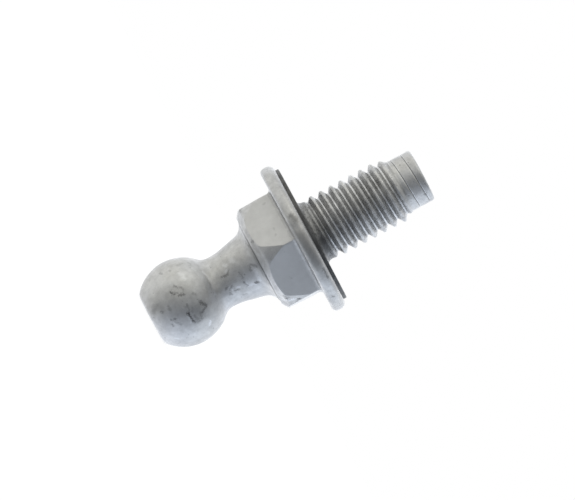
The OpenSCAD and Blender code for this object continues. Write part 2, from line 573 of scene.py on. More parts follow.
@dataclass
class Shank:
    """Threaded shank: blank, rolled right-hand thread and plain pilot."""

    seat_height: float = 16.28
    blank_radius: float = 2.85
    blank_length: float = 0.5
    blend_radius: float = 0.45
    crest_radius: float = 3.0
    pitch: float = 1.0
    groove_depth: float = 0.5
    crest_flat: float = 0.05
    crest_round: float = 0.08
    root_flat: float = 0.03
    root_round: float = 0.08
    thread_reach: float = 8.9
    run_in: float = 0.6
    run_out: float = 0.9
    crest_turn: float = 180.0
    crest_height: float = 18.6
    pilot_radius: float = 2.475
    pilot_length: float = 2.2
    pilot_edge: float = 0.25
    mark_share: float = -0.2
    mark_width: float = 0.06
    mark_depth: float = 0.06
    mark_fade: float = 0.35
    scuff_radius: float = 2.8
    # Painted shade under the flange, on the blank near the seat and under the bearing face, and on the
    # thread's flanks.
    start_shade: float = 2.2
    face_shade: float = 0.2
    far_flank_share: float = 0.7
    flank_turns: tuple[float, ...] = (0.0, 20.0, 40.0, 60.0)

    @property
    def thread_start(self) -> float:
        """Height at which the thread starts to rise from the blank."""
        return self.seat_height + self.blank_length

    @property
    def thread_end(self) -> float:
        """Height at which the thread has run out into the pilot."""
        return self.seat_height + self.thread_reach

    @property
    def sheet_end(self) -> float:
        """Height at which the pilot's rounded edge starts."""
        return self.thread_end + self.pilot_length - self.pilot_edge

    def root_rings(self, seat_radius: float) -> list[Ring]:
        """Makes the rings from the bearing face over the hollow behind it to the thread.

        Args:
            seat_radius: Radius at which the bearing face's rounded edge ends.

        Returns:
            The rings in order; the last one is the first of the thread.
        """
        centre = self.blank_radius + self.blend_radius, self.seat_height + self.blend_radius
        face = line((seat_radius, self.seat_height), (centre[0], self.seat_height), 8)
        hollow = arc(centre, self.blend_radius, 270, 180, 7)
        blank = line(hollow[-1], (self.blank_radius, self.thread_start), 2)
        # The face under the bearing face, the hollow behind it and the blank are darkened with painted shade,
        # under the flange.
        return plain(face, Zone.SEAT, self.face_shade) + plain(hollow + blank, Zone.THREAD, self.start_shade)

    def tip_rings(self) -> list[Ring]:
        """Makes the rings from the pilot's rounded edge to the middle of its end.

        Returns:
            The rings in order.
        """
        inner = self.pilot_radius - self.pilot_edge
        tip = self.thread_end + self.pilot_length
        points = [(self.pilot_radius, self.sheet_end)]
        points += arc((inner, self.sheet_end), self.pilot_edge, 0, 90, 6)
        points += line((inner, tip), (0.0, tip), 7)
        return plain(points, Zone.PILOT)

    def groove_rows(self) -> list[Point]:
        """Gives the section of one pitch from root to root.

        Returns:
            Place along the axis from the crest's middle and depth under the crest, for each row.
        """
        crest = []
        root = []
        for turn in self.flank_turns:
            sine, cosine = math.sin(math.radians(turn)), math.cos(math.radians(turn))
            crest.append((self.crest_flat + self.crest_round * sine, self.crest_round * (1 - cosine)))
            root.append((
                self.pitch / 2 - self.root_flat - self.root_round * sine,
                self.groove_depth - self.root_round * (1 - cosine),
            ))
        root.insert(0, (self.pitch / 2, self.groove_depth))
        half = crest + [self.between(crest[-1], root[-1], 0.5)] + root[::-1]
        mark = self.mark_share * self.pitch
        marked = [mark - self.mark_width, mark, mark + self.mark_width]
        flank = [self.between(crest[-1], root[-1], self.flank_share(crest, root, m)) for m in marked]
        lower = [(-p[0], p[1]) for p in crest + flank[::-1] + root[::-1]]
        return lower[::-1] + half

    def flank_share(self, crest: list[Point], root: list[Point], place: float) -> float:
        """Gives the share of the flank at which a place on the head's side lies.

        Args:
            crest: Rows of the crest.
            root: Rows of the root.
            place: Place along the axis from the crest's middle, below zero.

        Returns:
            Share of the way from the crest's last row to the root's.
        """
        return (-place - crest[-1][0]) / (root[-1][0] - crest[-1][0])

    @staticmethod
    def between(first: Point, second: Point, share: float) -> Point:
        """Gives the point at a share of the way from a first to a second one."""
        return (
            first[0] + (second[0] - first[0]) * share,
            first[1] + (second[1] - first[1]) * share,
        )

    def painted_shade_and_highlight(self, row: Point, height: float) -> Point:
        """Gives the painted shade and the painted highlight of the rolled surface.

        Args:
            row: Place in the pitch and depth under the crest.
            height: Height of the point.

        Returns:
            Share of painted shade on the flanks and near the seat, and share of painted highlight in the
            root.
            On the pilot, the painted shade lies in the faint rolling mark and the painted highlight beside
            it.
        """
        if height >= self.thread_end:
            # On the pilot: painted shade in the faint rolling mark and a painted highlight just beside it.
            beyond = row[0] - self.mark_share * self.pitch
            shown = self.mark_shown(height)
            on_mark = abs(beyond) < self.mark_width / 2
            after_mark = abs(beyond - self.mark_width) < self.mark_width / 2
            return (shown if on_mark else 0.0), (shown if after_mark else 0.0)
        depth = row[1] / self.groove_depth
        # Painted shade on the flanks, full on the flank facing the head and less on the far one, and near the
        # seat; painted highlight in the root.
        darkening = smooth_step(depth, 0.05, 0.5) * (1 - smooth_step(depth, 0.93, 1.0))
        darkening *= 1.0 if row[0] < 0 else self.far_flank_share
        near_seat = 1 - smooth_step(height, self.thread_start, self.thread_start + self.run_out)
        return max(darkening, self.start_shade * near_seat), smooth_step(depth, 0.95, 1.0) * (1 - near_seat)

    def radius_at(self, row: Point, height: float) -> float:
        """Gives the surface's radius for one row of the section.

        Args:
            row: Place in the pitch and depth under the crest.
            height: Height of the point.

        Returns:
            Distance from the axis.
        """
        sunk = min(1.0, max(0.0, (height - self.thread_start) / self.run_in))
        raised = smooth_step(height - self.thread_start, 0.0, self.run_out * 1.2)
        ending = min(1.0, max(0.0, (self.thread_end - height) / self.run_out))
        full = self.crest_radius - row[1]
        share = raised if full > self.blank_radius else sunk
        rolled = self.blank_radius + (full - self.blank_radius) * share
        radius = self.pilot_radius + (rolled - self.pilot_radius) * ending
        if abs(row[0] - self.mark_share * self.pitch) < self.mark_width / 2:
            radius -= self.mark_depth * self.mark_shown(height)
        return radius

    def mark_shown(self, height: float) -> float:
        """Gives how clearly the rolling mark shows on the pilot.

        Args:
            height: Height of the point.

        Returns:
            Share between 0 off the pilot and 1 in its middle.
        """
        shown = smooth_step(height, self.thread_end, self.thread_end + self.mark_fade)
        return shown * (1 - smooth_step(height, self.sheet_end - self.mark_fade, self.sheet_end))


@dataclass
class Dent:
    """Shallow knock in the surface."""

    turn: float
    height: float
    size: float
    depth: float


@dataclass
class BallStud:
    """Whole stud, one closed mesh in one piece."""

    ball: Ball = field(default_factory=Ball)
    neck: Neck = field(default_factory=Neck)
    hexagon: Hexagon = field(default_factory=Hexagon)
    flange: Flange = field(default_factory=Flange)
    shank: Shank = field(default_factory=Shank)
    crease_width: float = 0.06
    corner_reach: float = 0.1
    merge_distance: float = 0.004
    end_gap: float = 0.012
    unevenness: float = 0.012
    machined_share: float = 0.3
    grain: float = 0.9
    sharp_angle: float = 50.0
    halvings: int = 16
    dents: tuple[Dent, ...] = (
        Dent(turn=-96.0, height=15.2, size=0.35, depth=0.05),
    )

    def build(self) -> bpy.types.Object:
        """Builds the stud's mesh and puts it in the scene.

        Returns:
            The finished object, at the origin and in metres.
        """
        mesh = bmesh.new()
        for section in (self.turned(self.head_rings()), self.rolled(), self.turned(self.shank.tip_rings())):
            mesh.from_mesh(section)
            bpy.data.meshes.remove(section)
        LOG.info("stud: sections joined")
        bmesh.ops.remove_doubles(mesh, verts=mesh.verts, dist=self.merge_distance)
        bmesh.ops.dissolve_degenerate(mesh, edges=mesh.edges, dist=self.merge_distance / 4)
        self.break_creases(mesh)
        self.roughen(mesh)
        bmesh.ops.recalc_face_normals(mesh, faces=mesh.faces)
        bmesh.ops.scale(mesh, vec=(METRES, METRES, METRES), verts=mesh.verts)
        open_edges = [e for e in mesh.edges if not e.is_manifold]
        LOG.info("stud mesh: %d faces, %d open edges", len(mesh.faces), len(open_edges))
        data = as_mesh(mesh, "stud")
        data.shade_smooth()
        data.set_sharp_from_angle(angle=math.radians(self.sharp_angle))
        return as_object(data)

    def head_rings(self) -> list[Ring]:
        """Gives all rings from the flat of the ball to the start of the thread.

        Returns:
            The rings in order.
        """
        rings = self.ball.rings(self.neck.blend_angle(self.ball))
        rings += self.neck.rings(self.ball, self.hexagon.end_height)
        rings += self.hexagon.rings()
        rings += self.flange.rings(self.hexagon)
        rings += self.shank.root_rings(self.flange.seat_radius - self.flange.seat_edge)
        return rings

    @staticmethod
    def turned(rings: list[Ring]) -> bpy.types.Mesh:
        """Spins a half section about the axis and presses its rings into shape.

        Args:
            rings: Rings of the half section in order.

        Returns:
            The turned shape in millimetres.
        """
        section = Section([(max(radius, TINY), height) for radius, height in (r.place(0.0) for r in rings)])
        section.spin(0)
        mesh = section.mesh
        for face in mesh.faces:
            face.material_index = rings[max(v[section.row] for v in face.verts)].zone
        for vert in mesh.verts:
            ring = rings[vert[section.row]]
            radius, height = ring.place(column_angle(vert.co))
            section.press(vert, radius, height, (ring.grime, ring.sheen))
        return as_mesh(mesh, "section")

    def rolled(self) -> bpy.types.Mesh:
        """Spins one turn of the thread's section and repeats it up the helix, pilot included.

        Returns:
            The rolled shape in millimetres, clipped to its two end rings.
        """
        shank = self.shank
        rows = shank.groove_rows()
        turn_back = math.ceil((shank.crest_height - shank.thread_start) / shank.pitch) + 2
        base = shank.crest_height - shank.crest_turn / 360 * shank.pitch - turn_back * shank.pitch
        turns = math.ceil((shank.sheet_end - base) / shank.pitch) + 1
        section = Section([(shank.crest_radius, base + along) for along, _depth in rows])
        section.spin(shank.pitch)
        mesh = section.mesh
        turn = mesh.verts[:] + mesh.edges[:] + mesh.faces[:]
        for i in range(1, turns):
            copied = bmesh.ops.duplicate(mesh, geom=turn)["geom"]
            points = [v for v in copied if isinstance(v, bmesh.types.BMVert)]
            bmesh.ops.translate(mesh, vec=(0, 0, i * shank.pitch), verts=points)
        for vert in mesh.verts:
            height = vert.co.z
            if height < shank.thread_start + self.end_gap:
                height = shank.thread_start
            if height > shank.sheet_end - self.end_gap:
                height = shank.sheet_end
            row = rows[vert[section.row]]
            section.press(vert, shank.radius_at(row, height), height, shank.painted_shade_and_highlight(row, height))
        for face in mesh.faces:
            beyond = face.calc_center_median().z > shank.thread_end - shank.run_out / 3
            face.material_index = Zone.PILOT if beyond else Zone.THREAD
        return as_mesh(mesh, "section")

    def surface_radius(self, rings: list[Ring], angle: float, height: float) -> float:
        """Gives the distance from the axis to the surface.

        Args:
            rings: All rings up to the start of the thread.
            angle: Direction about the axis.
            height: Height of the point.

        Returns:
            The distance; on the thread, one between crest and root.
        """
        if height > self.shank.thread_start:
            on_pilot = height > self.shank.thread_end
            return self.shank.pilot_radius if on_pilot else self.shank.scuff_radius
        points = [ring.place(angle) for ring in rings]
        for low, high in zip(points, points[1:]):
            if low[1] < height <= high[1]:
                return low[0] + (high[0] - low[0]) * (height - low[1]) / (high[1] - low[1])
        return points[0][0]

    def seen(self, height: float, side: float) -> Vector:
        """Finds the point of the surface that shows at a place of the picture.

        Args:
            height: Height of the place along the stud.
            side: Distance from the axis, towards the picture's lower side.

        Returns:
            The point in millimetres, found by halving the range in which it lies.
        """
        across, back = view_axes()
        rings = self.head_rings()
        near, far = 0.0, self.flange.radius
        point = Vector()
        for _ in range(self.halvings):
            depth = (near + far) / 2
            point = across * side + back * depth + Vector((0, 0, height))
            surface = self.surface_radius(rings, math.atan2(point.y, point.x), height)
            if math.hypot(point.x, point.y) < surface:
                near = depth
            else:
                far = depth
        return point

    def break_creases(self, mesh: bmesh.types.BMesh) -> None:
        """Rounds the bows and the six upright corners of the hexagon.

        Args:
            mesh: Mesh of the whole stud.
        """
        hexagon = self.hexagon
        chosen = []
        for edge in mesh.edges:
            ends = [(v.co.z, math.atan2(v.co.y, v.co.x), math.hypot(v.co.x, v.co.y)) for v in edge.verts]
            if not all(hexagon.end_height < height < hexagon.top_height + TINY for height, _, _ in ends):
                continue
            above = [height - hexagon.end_height - hexagon.bow_height(angle) for height, angle, _ in ends]
            sides = [radius - hexagon.flat_radius(angle) for _, angle, radius in ends]
            on_bow = all(abs(gap) < TINY for gap in above + sides)
            corners = [(math.degrees(angle) - 30) % 60 for _, angle, _ in ends]
            at_corner = all(min(corner, 60 - corner) < self.corner_reach for corner in corners)
            upright = abs(ends[0][0] - ends[1][0]) > TINY
            if on_bow or (at_corner and upright and min(above) > -TINY):
                chosen.append(edge)
        bmesh.ops.bevel(
            mesh, geom=chosen, offset=self.crease_width, offset_type="OFFSET", affect="EDGES",
            segments=3, profile=0.5, material=-1, clamp_overlap=True,
        )

    def roughen(self, mesh: bmesh.types.BMesh) -> None:
        """Gives the forged surfaces their slight unevenness and their knocks.

        Args:
            mesh: Mesh of the whole stud.
        """
        for vert in mesh.verts:
            radius = math.hypot(vert.co.x, vert.co.y)
            if radius < self.merge_distance or vert.co.z < self.merge_distance:
                continue
            forged = 1 - smooth_step(vert.co.z, self.hexagon.end_height, self.hexagon.end_height + 1)
            amount = self.unevenness * (self.machined_share + (1 - self.machined_share) * forged)
            change = amount * noise.fractal(vert.co * self.grain, 0.8, 2.1, 3)
            for dent in self.dents:
                turn = math.radians(dent.turn)
                middle = Vector((radius * math.cos(turn), radius * math.sin(turn), dent.height))
                near = (vert.co - middle).length / dent.size
                if near < 3 and radius > self.flange.radius * 0.9:
                    change -= dent.depth * math.exp(-near * near)
            vert.co.x += vert.co.x / radius * change
            vert.co.y += vert.co.y / radius * change


class Wiring:
    """Node tree of a material, a group or the world, filled one node at a time."""

    def __init__(self, tree: bpy.types.NodeTree) -> None:
        """Starts on a tree.

        Args:
            tree: Tree that takes the nodes.
        """
        self.tree = tree
        self.count = 0

    @classmethod
    def fresh(cls, owner: bpy.types.Material | bpy.types.World) -> "Wiring":
        """Clears the nodes of a material or the world and starts on them.

        Args:
            owner: Material or world.

        Returns:
            Its wiring.
        """
        owner.use_nodes = True
        owner.node_tree.nodes.clear()
        return cls(owner.node_tree)

    def add(self, kind: str, inputs: dict | None = None, **settings: object) -> bpy.types.Node:
        """Adds a node.

        Args:
            kind: Blender's name of the node's type.
            inputs: Value or output for each input, by its name or number.
            settings: The node's own settings.

        Returns:
            The new node.
        """
        node = self.tree.nodes.new(kind)
        node.location = (self.count % 12 * 180, -(self.count // 12) * 260)
        self.count += 1
        for name, value in settings.items():
            setattr(node, name, value)
        for name, value in (inputs or {}).items():
            if isinstance(value, bpy.types.NodeSocket):
                self.tree.links.new(value, node.inputs[name])
            else:
                node.inputs[name].default_value = value
        return node

    def math(self, operation: str, *values: object, clamp: bool = False) -> bpy.types.NodeSocket:
        """Adds a Math node and gives its output."""
        inputs = dict(enumerate(values))
        return self.add("ShaderNodeMath", inputs, operation=operation, use_clamp=clamp).outputs[0]

    def ramp(
        self, value: object, low: float, high: float, first: float = 0, last: float = 1,
    ) -> bpy.types.NodeSocket:
        """Adds a smooth Map Range node.

        Args:
            value: Value to place between the bounds.
            low: Lower bound.
            high: Upper bound.
            first: Result at the lower bound.
            last: Result at the upper bound.

        Returns:
            The node's output.
        """
        inputs = {"Value": value, "From Min": low, "From Max": high, "To Min": first, "To Max": last}
        node = self.add("ShaderNodeMapRange", inputs, interpolation_type="SMOOTHSTEP")
        return node.outputs["Result"]

    def mix(self, share: object, first: object, second: object, blend: str = "MIX") -> bpy.types.NodeSocket:
        """Adds a colour Mix node and gives its output."""
        inputs = {0: share, 6: first, 7: second}
        return self.add("ShaderNodeMix", inputs, data_type="RGBA", blend_type=blend).outputs[2]

    def vector(self, operation: str, *values: object) -> bpy.types.NodeSocket:
        """Adds a Vector Math node and gives its vector."""
        return self.add("ShaderNodeVectorMath", dict(enumerate(values)), operation=operation).outputs[0]

    def dot(self, first: object, second: object) -> bpy.types.NodeSocket:
        """Adds a dot product and gives its value."""
        inputs = {0: first, 1: second}
        return self.add("ShaderNodeVectorMath", inputs, operation="DOT_PRODUCT").outputs["Value"]

    def noise(
        self, vector: object, scale: float, detail: float = 3, rough: float = 0.55,
    ) -> bpy.types.NodeSocket:
        """Adds a Noise node and gives its value."""
        inputs = {"Vector": vector, "Scale": scale, "Detail": detail, "Roughness": rough}
        return self.add("ShaderNodeTexNoise", inputs).outputs[0]


def grey(level: float, warmth: float = 0.0) -> tuple[float, float, float, float]:
    """Gives a grey colour.

    Args:
        level: Brightness, linear.
        warmth: Tilt towards yellow above zero and towards blue below it.

    Returns:
        The colour with full alpha.
    """
    return level * (1 + warmth), level * (1 + warmth * 0.4), level * (1 - warmth), 1.0


@dataclass(frozen=True)
class Stroke:
    """Ragged stroke between two places of the picture, each a height and a distance from the axis. Dark
    strokes are marks and painted shade, light ones rubs and painted highlights.
    """

    start: Point
    end: Point
    width: float
    strength: float
    spread: float = 1.3


@dataclass(frozen=True)
class Coating:
    """Matt zinc flake coating: grey metal flakes with mottling, pits, marks and rubs, and with painted shade
    and painted highlights.
    """

    name: str
    level: float
    warmth: float
    roughness: float
    mottle: float
    # Darkening mixes towards a dark grey: painted shade, dark strokes and pits. Lightening mixes towards a
    # light grey: painted highlights and rubs.
    dark_level: float = 0.12
    shade_and_dirt_share: float = 0.0
    pit_share: float = 0.5
    speck_share: float = 0.0
    metallic: float = 0.85
    bright_level: float = 0.8
    highlight_share: float = 0.5
    bump: float = 0.35
    marks_and_shade: tuple[Stroke, ...] = ()
    rubs_and_highlights: tuple[Stroke, ...] = ()

    def make(self, seen: View) -> bpy.types.Material:
        """Makes the material.

        Args:
            seen: Rule that finds the point of the surface at a place of the picture.

        Returns:
            The material, ready to be put on the stud.
        """
        material = bpy.data.materials.new(self.name)
        wiring = Wiring.fresh(material)
        spot = wiring.add("ShaderNodeTexCoord").outputs["Object"]
        scaled = wiring.add("ShaderNodeMapping", {"Vector": spot, "Scale": (1 / METRES,) * 3})
        place = scaled.outputs["Vector"]
        inputs = {"Place": place, "Pits": self.pit_share, "Specks": self.speck_share}
        skin = wiring.add("ShaderNodeGroup", inputs, node_tree=FlakeSkin.tree())
        inputs = {"Place": place, "Ragged": skin.outputs["Ragged"]}
        tone = wiring.ramp(skin.outputs["Tone"], 0.25, 0.75, 1 - self.mottle, 1 + self.mottle)
        cooler = grey(self.level, -0.5 * self.warmth)
        colour = wiring.mix(skin.outputs["Tint"], grey(self.level, self.warmth), cooler)
        shade = wiring.add("ShaderNodeCombineColor", {0: tone, 1: tone, 2: tone}).outputs[0]
        colour = wiring.mix(1.0, colour, shade, "MULTIPLY")
        # Painted highlight from the vertex layer, together with the light strokes, rubs and painted
        # highlights, lightens the colour.
        bright = wiring.add("ShaderNodeAttribute", attribute_name="sheen").outputs["Fac"]
        highlight_and_wear = wiring.math("MULTIPLY", bright, wiring.ramp(skin.outputs["Tone"], 0.3, 0.6, 0.4, 1.0))
        highlight_and_wear = wiring.math("MULTIPLY", highlight_and_wear, self.highlight_share, clamp=True)
        rubbed_and_highlit = self.strokes(wiring, inputs, self.rubs_and_highlights, seen)
        highlight_and_wear = wiring.math("MAXIMUM", highlight_and_wear, rubbed_and_highlit)
        colour = wiring.mix(highlight_and_wear, colour, grey(self.bright_level, -0.02))
        # Darkening from the vertex layer, mostly painted shade, and the dark strokes, marks and painted
        # shade, darken the colour with the pits.
        darkening = wiring.add("ShaderNodeAttribute", attribute_name="grime").outputs["Fac"]
        darkening = wiring.math("MULTIPLY", darkening, wiring.ramp(skin.outputs["Ragged"], 0.25, 0.6, 1.2, 0.6))
        darkening = wiring.math("MULTIPLY", darkening, self.shade_and_dirt_share, clamp=True)
        marked = self.strokes(wiring, inputs, self.marks_and_shade, seen)
        pitted = wiring.math("MAXIMUM", marked, wiring.math("MULTIPLY", skin.outputs["Pit"], 0.8))
        dark = wiring.math("MAXIMUM", darkening, pitted)
        colour = wiring.mix(dark, colour, grey(self.dark_level, 0.01))
        rough = wiring.ramp(skin.outputs["Tone"], 0.2, 0.8, self.roughness + 0.06, self.roughness - 0.06)
        bump = wiring.add("ShaderNodeBump", {
            "Height": skin.outputs["Height"], "Strength": self.bump, "Distance": 0.02 * METRES,
        })
        shader = wiring.add("ShaderNodeBsdfPrincipled", {
            "Base Color": colour, "Metallic": self.metallic, "Roughness": rough,
            "Normal": bump.outputs["Normal"],
        })
        wiring.add("ShaderNodeOutputMaterial", {"Surface": shader.outputs[0]})
        return material

    @staticmethod
    def strokes(
        wiring: Wiring, inputs: dict[str, bpy.types.NodeSocket], strokes: tuple[Stroke, ...], seen: View,
    ) -> bpy.types.NodeSocket | float:
        """Lays strokes over each other.

        Args:
            wiring: Node tree of the material.
            inputs: Point of the surface in millimetres, and noise that frays the strokes.
            strokes: Strokes to lay.
            seen: Rule that finds the point of the surface at a place of the picture.

        Returns:
            Share of the surface that they cover.
        """
        mask = 0.0
        for stroke in strokes:
            own = {
                "Start": seen(*stroke.start), "End": seen(*stroke.end), "Under": mask,
                "Width": stroke.width * stroke.spread, "Strength": stroke.strength,
            }
            mask = wiring.add("ShaderNodeGroup", inputs | own, node_tree=StrokeMask.tree()).outputs["Mask"]
        return mask


class SharedGroup:
    """Shader group that several materials use, built the first time it is asked for."""

    NAME = ""
    INPUTS: dict[str, str] = {}
    OUTPUTS: tuple[str, ...] = ()

    @classmethod
    def tree(cls) -> bpy.types.NodeTree:
        """Gives the group.

        Returns:
            The group's node tree.
        """
        if cls.NAME in bpy.data.node_groups:
            return bpy.data.node_groups[cls.NAME]
        tree = bpy.data.node_groups.new(cls.NAME, "ShaderNodeTree")
        for name, kind in cls.INPUTS.items():
            tree.interface.new_socket(name, in_out="INPUT", socket_type="NodeSocket" + kind)
        for name in cls.OUTPUTS:
            tree.interface.new_socket(name, in_out="OUTPUT", socket_type="NodeSocketFloat")
        wiring = Wiring(tree)
        inside = wiring.add("NodeGroupInput").outputs
        results = cls.wire(wiring, inside)
        wiring.add("NodeGroupOutput", dict(zip(cls.OUTPUTS, results)))
        return tree

    @classmethod
    def wire(cls, wiring: Wiring, inside: bpy.types.NodeOutputs) -> tuple[bpy.types.NodeSocket, ...]:
        """Fills the group; each group has its own way."""
        raise NotImplementedError


class FlakeSkin(SharedGroup):
    """Group with the coating's mottling, grain and pits."""

    NAME = "flake_skin"
    INPUTS = {"Place": "Vector", "Pits": "Float", "Specks": "Float"}
    OUTPUTS = ("Tone", "Tint", "Pit", "Ragged", "Height")

    @classmethod
    def wire(cls, wiring: Wiring, inside: bpy.types.NodeOutputs) -> tuple[bpy.types.NodeSocket, ...]:
        """Fills the group.

        Args:
            wiring: The group's nodes.
            inside: Place in millimetres and the shares of pits and specks.

        Returns:
            Tone, tint, pits, fraying noise and height.
        """
        place = inside["Place"]
        broad = wiring.noise(place, 0.55, 3)
        fine = wiring.noise(place, 1.9, 4, 0.65)
        tone = wiring.math("ADD", wiring.math("MULTIPLY", broad, 0.45), wiring.math("MULTIPLY", fine, 0.55))
        tint = wiring.ramp(wiring.noise(place, 0.35, 2), 0.35, 0.65)
        grain = wiring.noise(place, 14, 3, 0.7)
        cells = wiring.add("ShaderNodeTexVoronoi", {"Vector": place, "Scale": 1.9, "Randomness": 1.0})
        patch = wiring.ramp(wiring.noise(place, 1.1, 2), 0.5, 0.62)
        size = wiring.math("MULTIPLY", patch, 0.2)
        pit = wiring.ramp(wiring.math("SUBTRACT", size, cells.outputs["Distance"]), 0.0, 0.07)
        pit = wiring.math("MULTIPLY", pit, inside["Pits"])
        dots = wiring.ramp(wiring.noise(place, 7, 2, 0.8), 0.55, 0.68)
        speck = wiring.math("MULTIPLY", dots, inside["Specks"])
        ragged = wiring.noise(place, 6.0, 4, 0.75)
        height = wiring.math("SUBTRACT", wiring.math("ADD", grain, fine), wiring.math("MULTIPLY", pit, 2.0))
        return tone, tint, wiring.math("MAXIMUM", pit, speck), ragged, height


class StrokeMask(SharedGroup):
    """Group with one ragged stroke between two points."""

    NAME = "stroke_mask"
    INPUTS = {
        "Place": "Vector", "Start": "Vector", "End": "Vector",
        "Ragged": "Float", "Width": "Float", "Strength": "Float", "Under": "Float",
    }
    OUTPUTS = ("Mask",)

    @classmethod
    def wire(cls, wiring: Wiring, inside: bpy.types.NodeOutputs) -> tuple[bpy.types.NodeSocket, ...]:
        """Fills the group.

        Args:
            wiring: The group's nodes.
            inside: Places and width in millimetres, fraying noise, strength and the mask under it.

        Returns:
            The mask of this stroke and the one under it.
        """
        along = wiring.vector("SUBTRACT", inside["End"], inside["Start"])
        offset = wiring.vector("SUBTRACT", inside["Place"], inside["Start"])
        share = wiring.math("DIVIDE", wiring.dot(offset, along), wiring.dot(along, along), clamp=True)
        nearest = wiring.add("ShaderNodeVectorMath", {0: along, "Scale": share}, operation="SCALE").outputs[0]
        ends = {0: offset, 1: nearest}
        far = wiring.add("ShaderNodeVectorMath", ends, operation="DISTANCE").outputs["Value"]
        fray = wiring.math("MULTIPLY", wiring.math("SUBTRACT", inside["Ragged"], 0.5), 0.75)
        edge = wiring.math("DIVIDE", wiring.math("ADD", far, fray), inside["Width"])
        mask = wiring.math("MULTIPLY", wiring.ramp(edge, 0.1, 1.4, 1.0, 0.0), inside["Strength"])
        return (wiring.math("MAXIMUM", mask, inside["Under"]),)


def strokes_of(*rows: tuple[float, ...]) -> tuple[Stroke, ...]:
    """Makes strokes from rows: height and side of both ends, then width and strength."""
    return tuple(Stroke(row[:2], row[2:4], row[4], row[5]) for row in rows)


BALL_MARKS = strokes_of(
    (3.9, 1.1, 4.2, 1.4, 0.6, 0.3), (0.75, -0.7, 1.3, -0.5, 0.35, 0.25), (2.2, 0.6, 2.9, 0.9, 0.5, 0.12),
    (3.5, -3.05, 3.52, -3, 0.13, 0.35), (2.68, -3.25, 2.8, -3.1, 0.1, 0.35),
    (4.35, -3.1, 4.75, -3.1, 0.12, 0.2), (5.3, -2.85, 5.4, -2.75, 0.14, 0.25),
    (2.72, -1.28, 2.93, -0.98, 0.1, 0.75), (3.33, -1.6, 3.45, -1.42, 0.1, 0.55),
    (3.45, -1.45, 3.88, -1.08, 0.08, 0.4), (3.88, -1.05, 3.65, -0.68, 0.08, 0.4),
    (3.2, -0.7, 3.68, -0.6, 0.11, 0.65), (3.22, -0.95, 3.24, 1, 0.06, 0.45),
    (3.22, 1.05, 3.32, 1.95, 0.12, 0.95), (3.5, 0.35, 3.4, 0.95, 0.1, 0.45),
    (3.8, 0.7, 3.6, 1.2, 0.12, 0.4), (4.55, 0.4, 4.6, 0.6, 0.08, 0.5), (4.65, 0.75, 4.9, 1.2, 0.16, 0.7),
    (4.75, 1.3, 4.35, 1.6, 0.15, 0.65), (4.2, 1.45, 4.05, 2.05, 0.14, 0.5), (3.6, 1.6, 3.8, 2.1, 0.16, 0.5),
    (3.3, 2, 3.75, 2.2, 0.1, 0.45), (0.55, -0.5, 1.1, -0.8, 0.25, 0.35),
    (1.15, -0.15, 1.25, -0.1, 0.12, 0.5), (1.93, -0.25, 1.97, 0.1, 0.12, 0.35),
    (1.62, 0.9, 2, 1.02, 0.09, 0.6), (1.5, 1.3, 1.52, 1.42, 0.1, 0.5), (1.85, 1.2, 2.2, 1.65, 0.09, 0.35),
    (4.4, -0.3, 4.6, 0, 0.08, 0.3),
)
# Light strokes on the ball: rubs, and a painted highlight, the wide stroke at height 5.8 on the ball's
# shoulder.
BALL_RUBS_AND_HIGHLIGHTS = strokes_of(
    (3.1, 1.3, 3.12, 1.95, 0.09, 0.5), (4.42, 2.85, 4.6, 2.65, 0.12, 0.7),
    (1.15, 2.5, 1.3, 2.65, 0.12, 0.5), (3.45, -3.2, 3.4, -2.95, 0.08, 0.35),
    (4.15, -2.4, 4.3, -2.2, 0.15, 0.3), (4.3, -1.9, 4.45, -1.7, 0.15, 0.3),
    (5.4, -2.3, 5.5, -2, 0.14, 0.25), (5.8, -1.4, 5.8, 0.9, 0.3, 0.3),
)
# Dark strokes on the head: marks, and painted shade.
HEAD_MARKS_AND_SHADE = strokes_of(
    (6.1, -1.1, 6.12, -0.2, 0.09, 0.3), (7.35, -0.33, 7.9, -0.28, 0.1, 0.55),
    (7.9, -0.35, 8.1, -0.55, 0.08, 0.5), (8.9, 0.1, 8.98, 0.5, 0.1, 0.4), (9.85, 0.4, 9.95, 0, 0.09, 0.4),
    (10.1, -0.1, 10.5, 0.22, 0.12, 0.45), (7.2, 0.75, 7.35, 0.7, 0.09, 0.6),
    (7.45, 0.95, 7.75, 0.8, 0.08, 0.55), (7.25, 1.25, 7.35, 1.4, 0.08, 0.5),
    (7.8, 1.25, 8.15, 1.35, 0.08, 0.55), (8.85, 1, 8.97, 1.35, 0.09, 0.6),
    (9.75, 1.5, 9.95, 1.6, 0.12, 0.8), (8.3, 1.95, 8.55, 2, 0.08, 0.3),
    (10.65, -2.05, 10.75, -1.65, 0.12, 0.4), (11.2, -1.9, 11.25, -1.8, 0.14, 0.5),
    # Painted shade: the dark outline of the burr at the hexagon's lower corner, here and on the next line.
    (11.35, 3.9, 11.5, 4.1, 0.07, 0.55), (11.3, 4.6, 12.3, 4.66, 0.08, 0.5),
    (12.4, 4.55, 12.5, 4.6, 0.13, 0.9), (10.97, 3.6, 11.02, 4.35, 0.12, 0.4),
    # Painted shade along both sides of the chamfer strip.
    (11.1, 2.6, 11.1, 4.2, 0.3, 0.25), (11.1, -2.6, 11.1, -4.3, 0.3, 0.18),
    (11.72, 3.5, 11.78, 3.6, 0.06, 0.4), (6.42, -1.6, 6.42, 0.5, 0.25, 0.22),
    (15.3, -2.2, 15.5, -1.7, 0.28, 0.6), (15.6, 3.2, 15.6, 4.1, 0.1, 0.6),
    # The wide stroke at height 15.3 darkens the middle of the rim.
    (15.2, 5.8, 15.25, 5.85, 0.12, 0.6), (15.3, -0.4, 15.3, 2.5, 0.55, 0.38),
)
